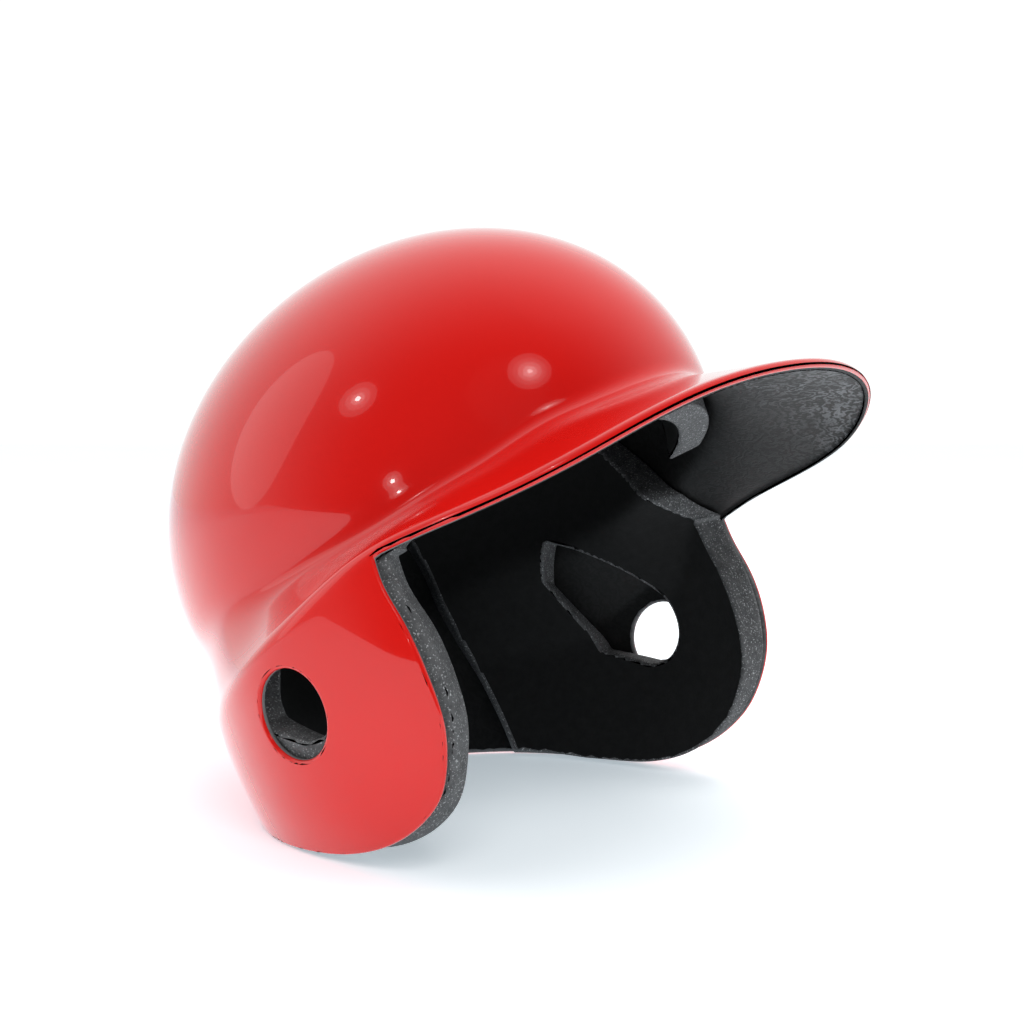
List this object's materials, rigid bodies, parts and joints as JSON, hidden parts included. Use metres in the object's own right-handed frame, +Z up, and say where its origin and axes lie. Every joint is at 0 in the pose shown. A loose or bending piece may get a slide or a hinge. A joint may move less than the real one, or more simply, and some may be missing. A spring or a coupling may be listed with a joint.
{
  "type": "batting helmet",
  "caption": "Open-faced ball-sports helmet with a rigid dome, a wide brim, two ear flaps with round ear holes, and cut foam pads inside.",
  "frame": {"origin": "centre of the helmet's footprint on the ground, at the level it stands on", "axes": "+X forward past the brim, +Y to the wearer's left across the plane of symmetry, +Z up; the helmet stands leaned back 30 degrees on its rim"},
  "size_m": [0.292, 0.2324, 0.2259],
  "materials": {
    "painted_shell": "glossy red lacquer",
    "foam": "matte closed-cell foam"
  },
  "bodies": {
    "root": {"shell": "painted_shell", "forehead_pad": "foam", "left_side_pad": "foam", "right_side_pad": "foam", "rear_pad": "foam", "crown_pad": "foam"}
  },
  "joints": []
}
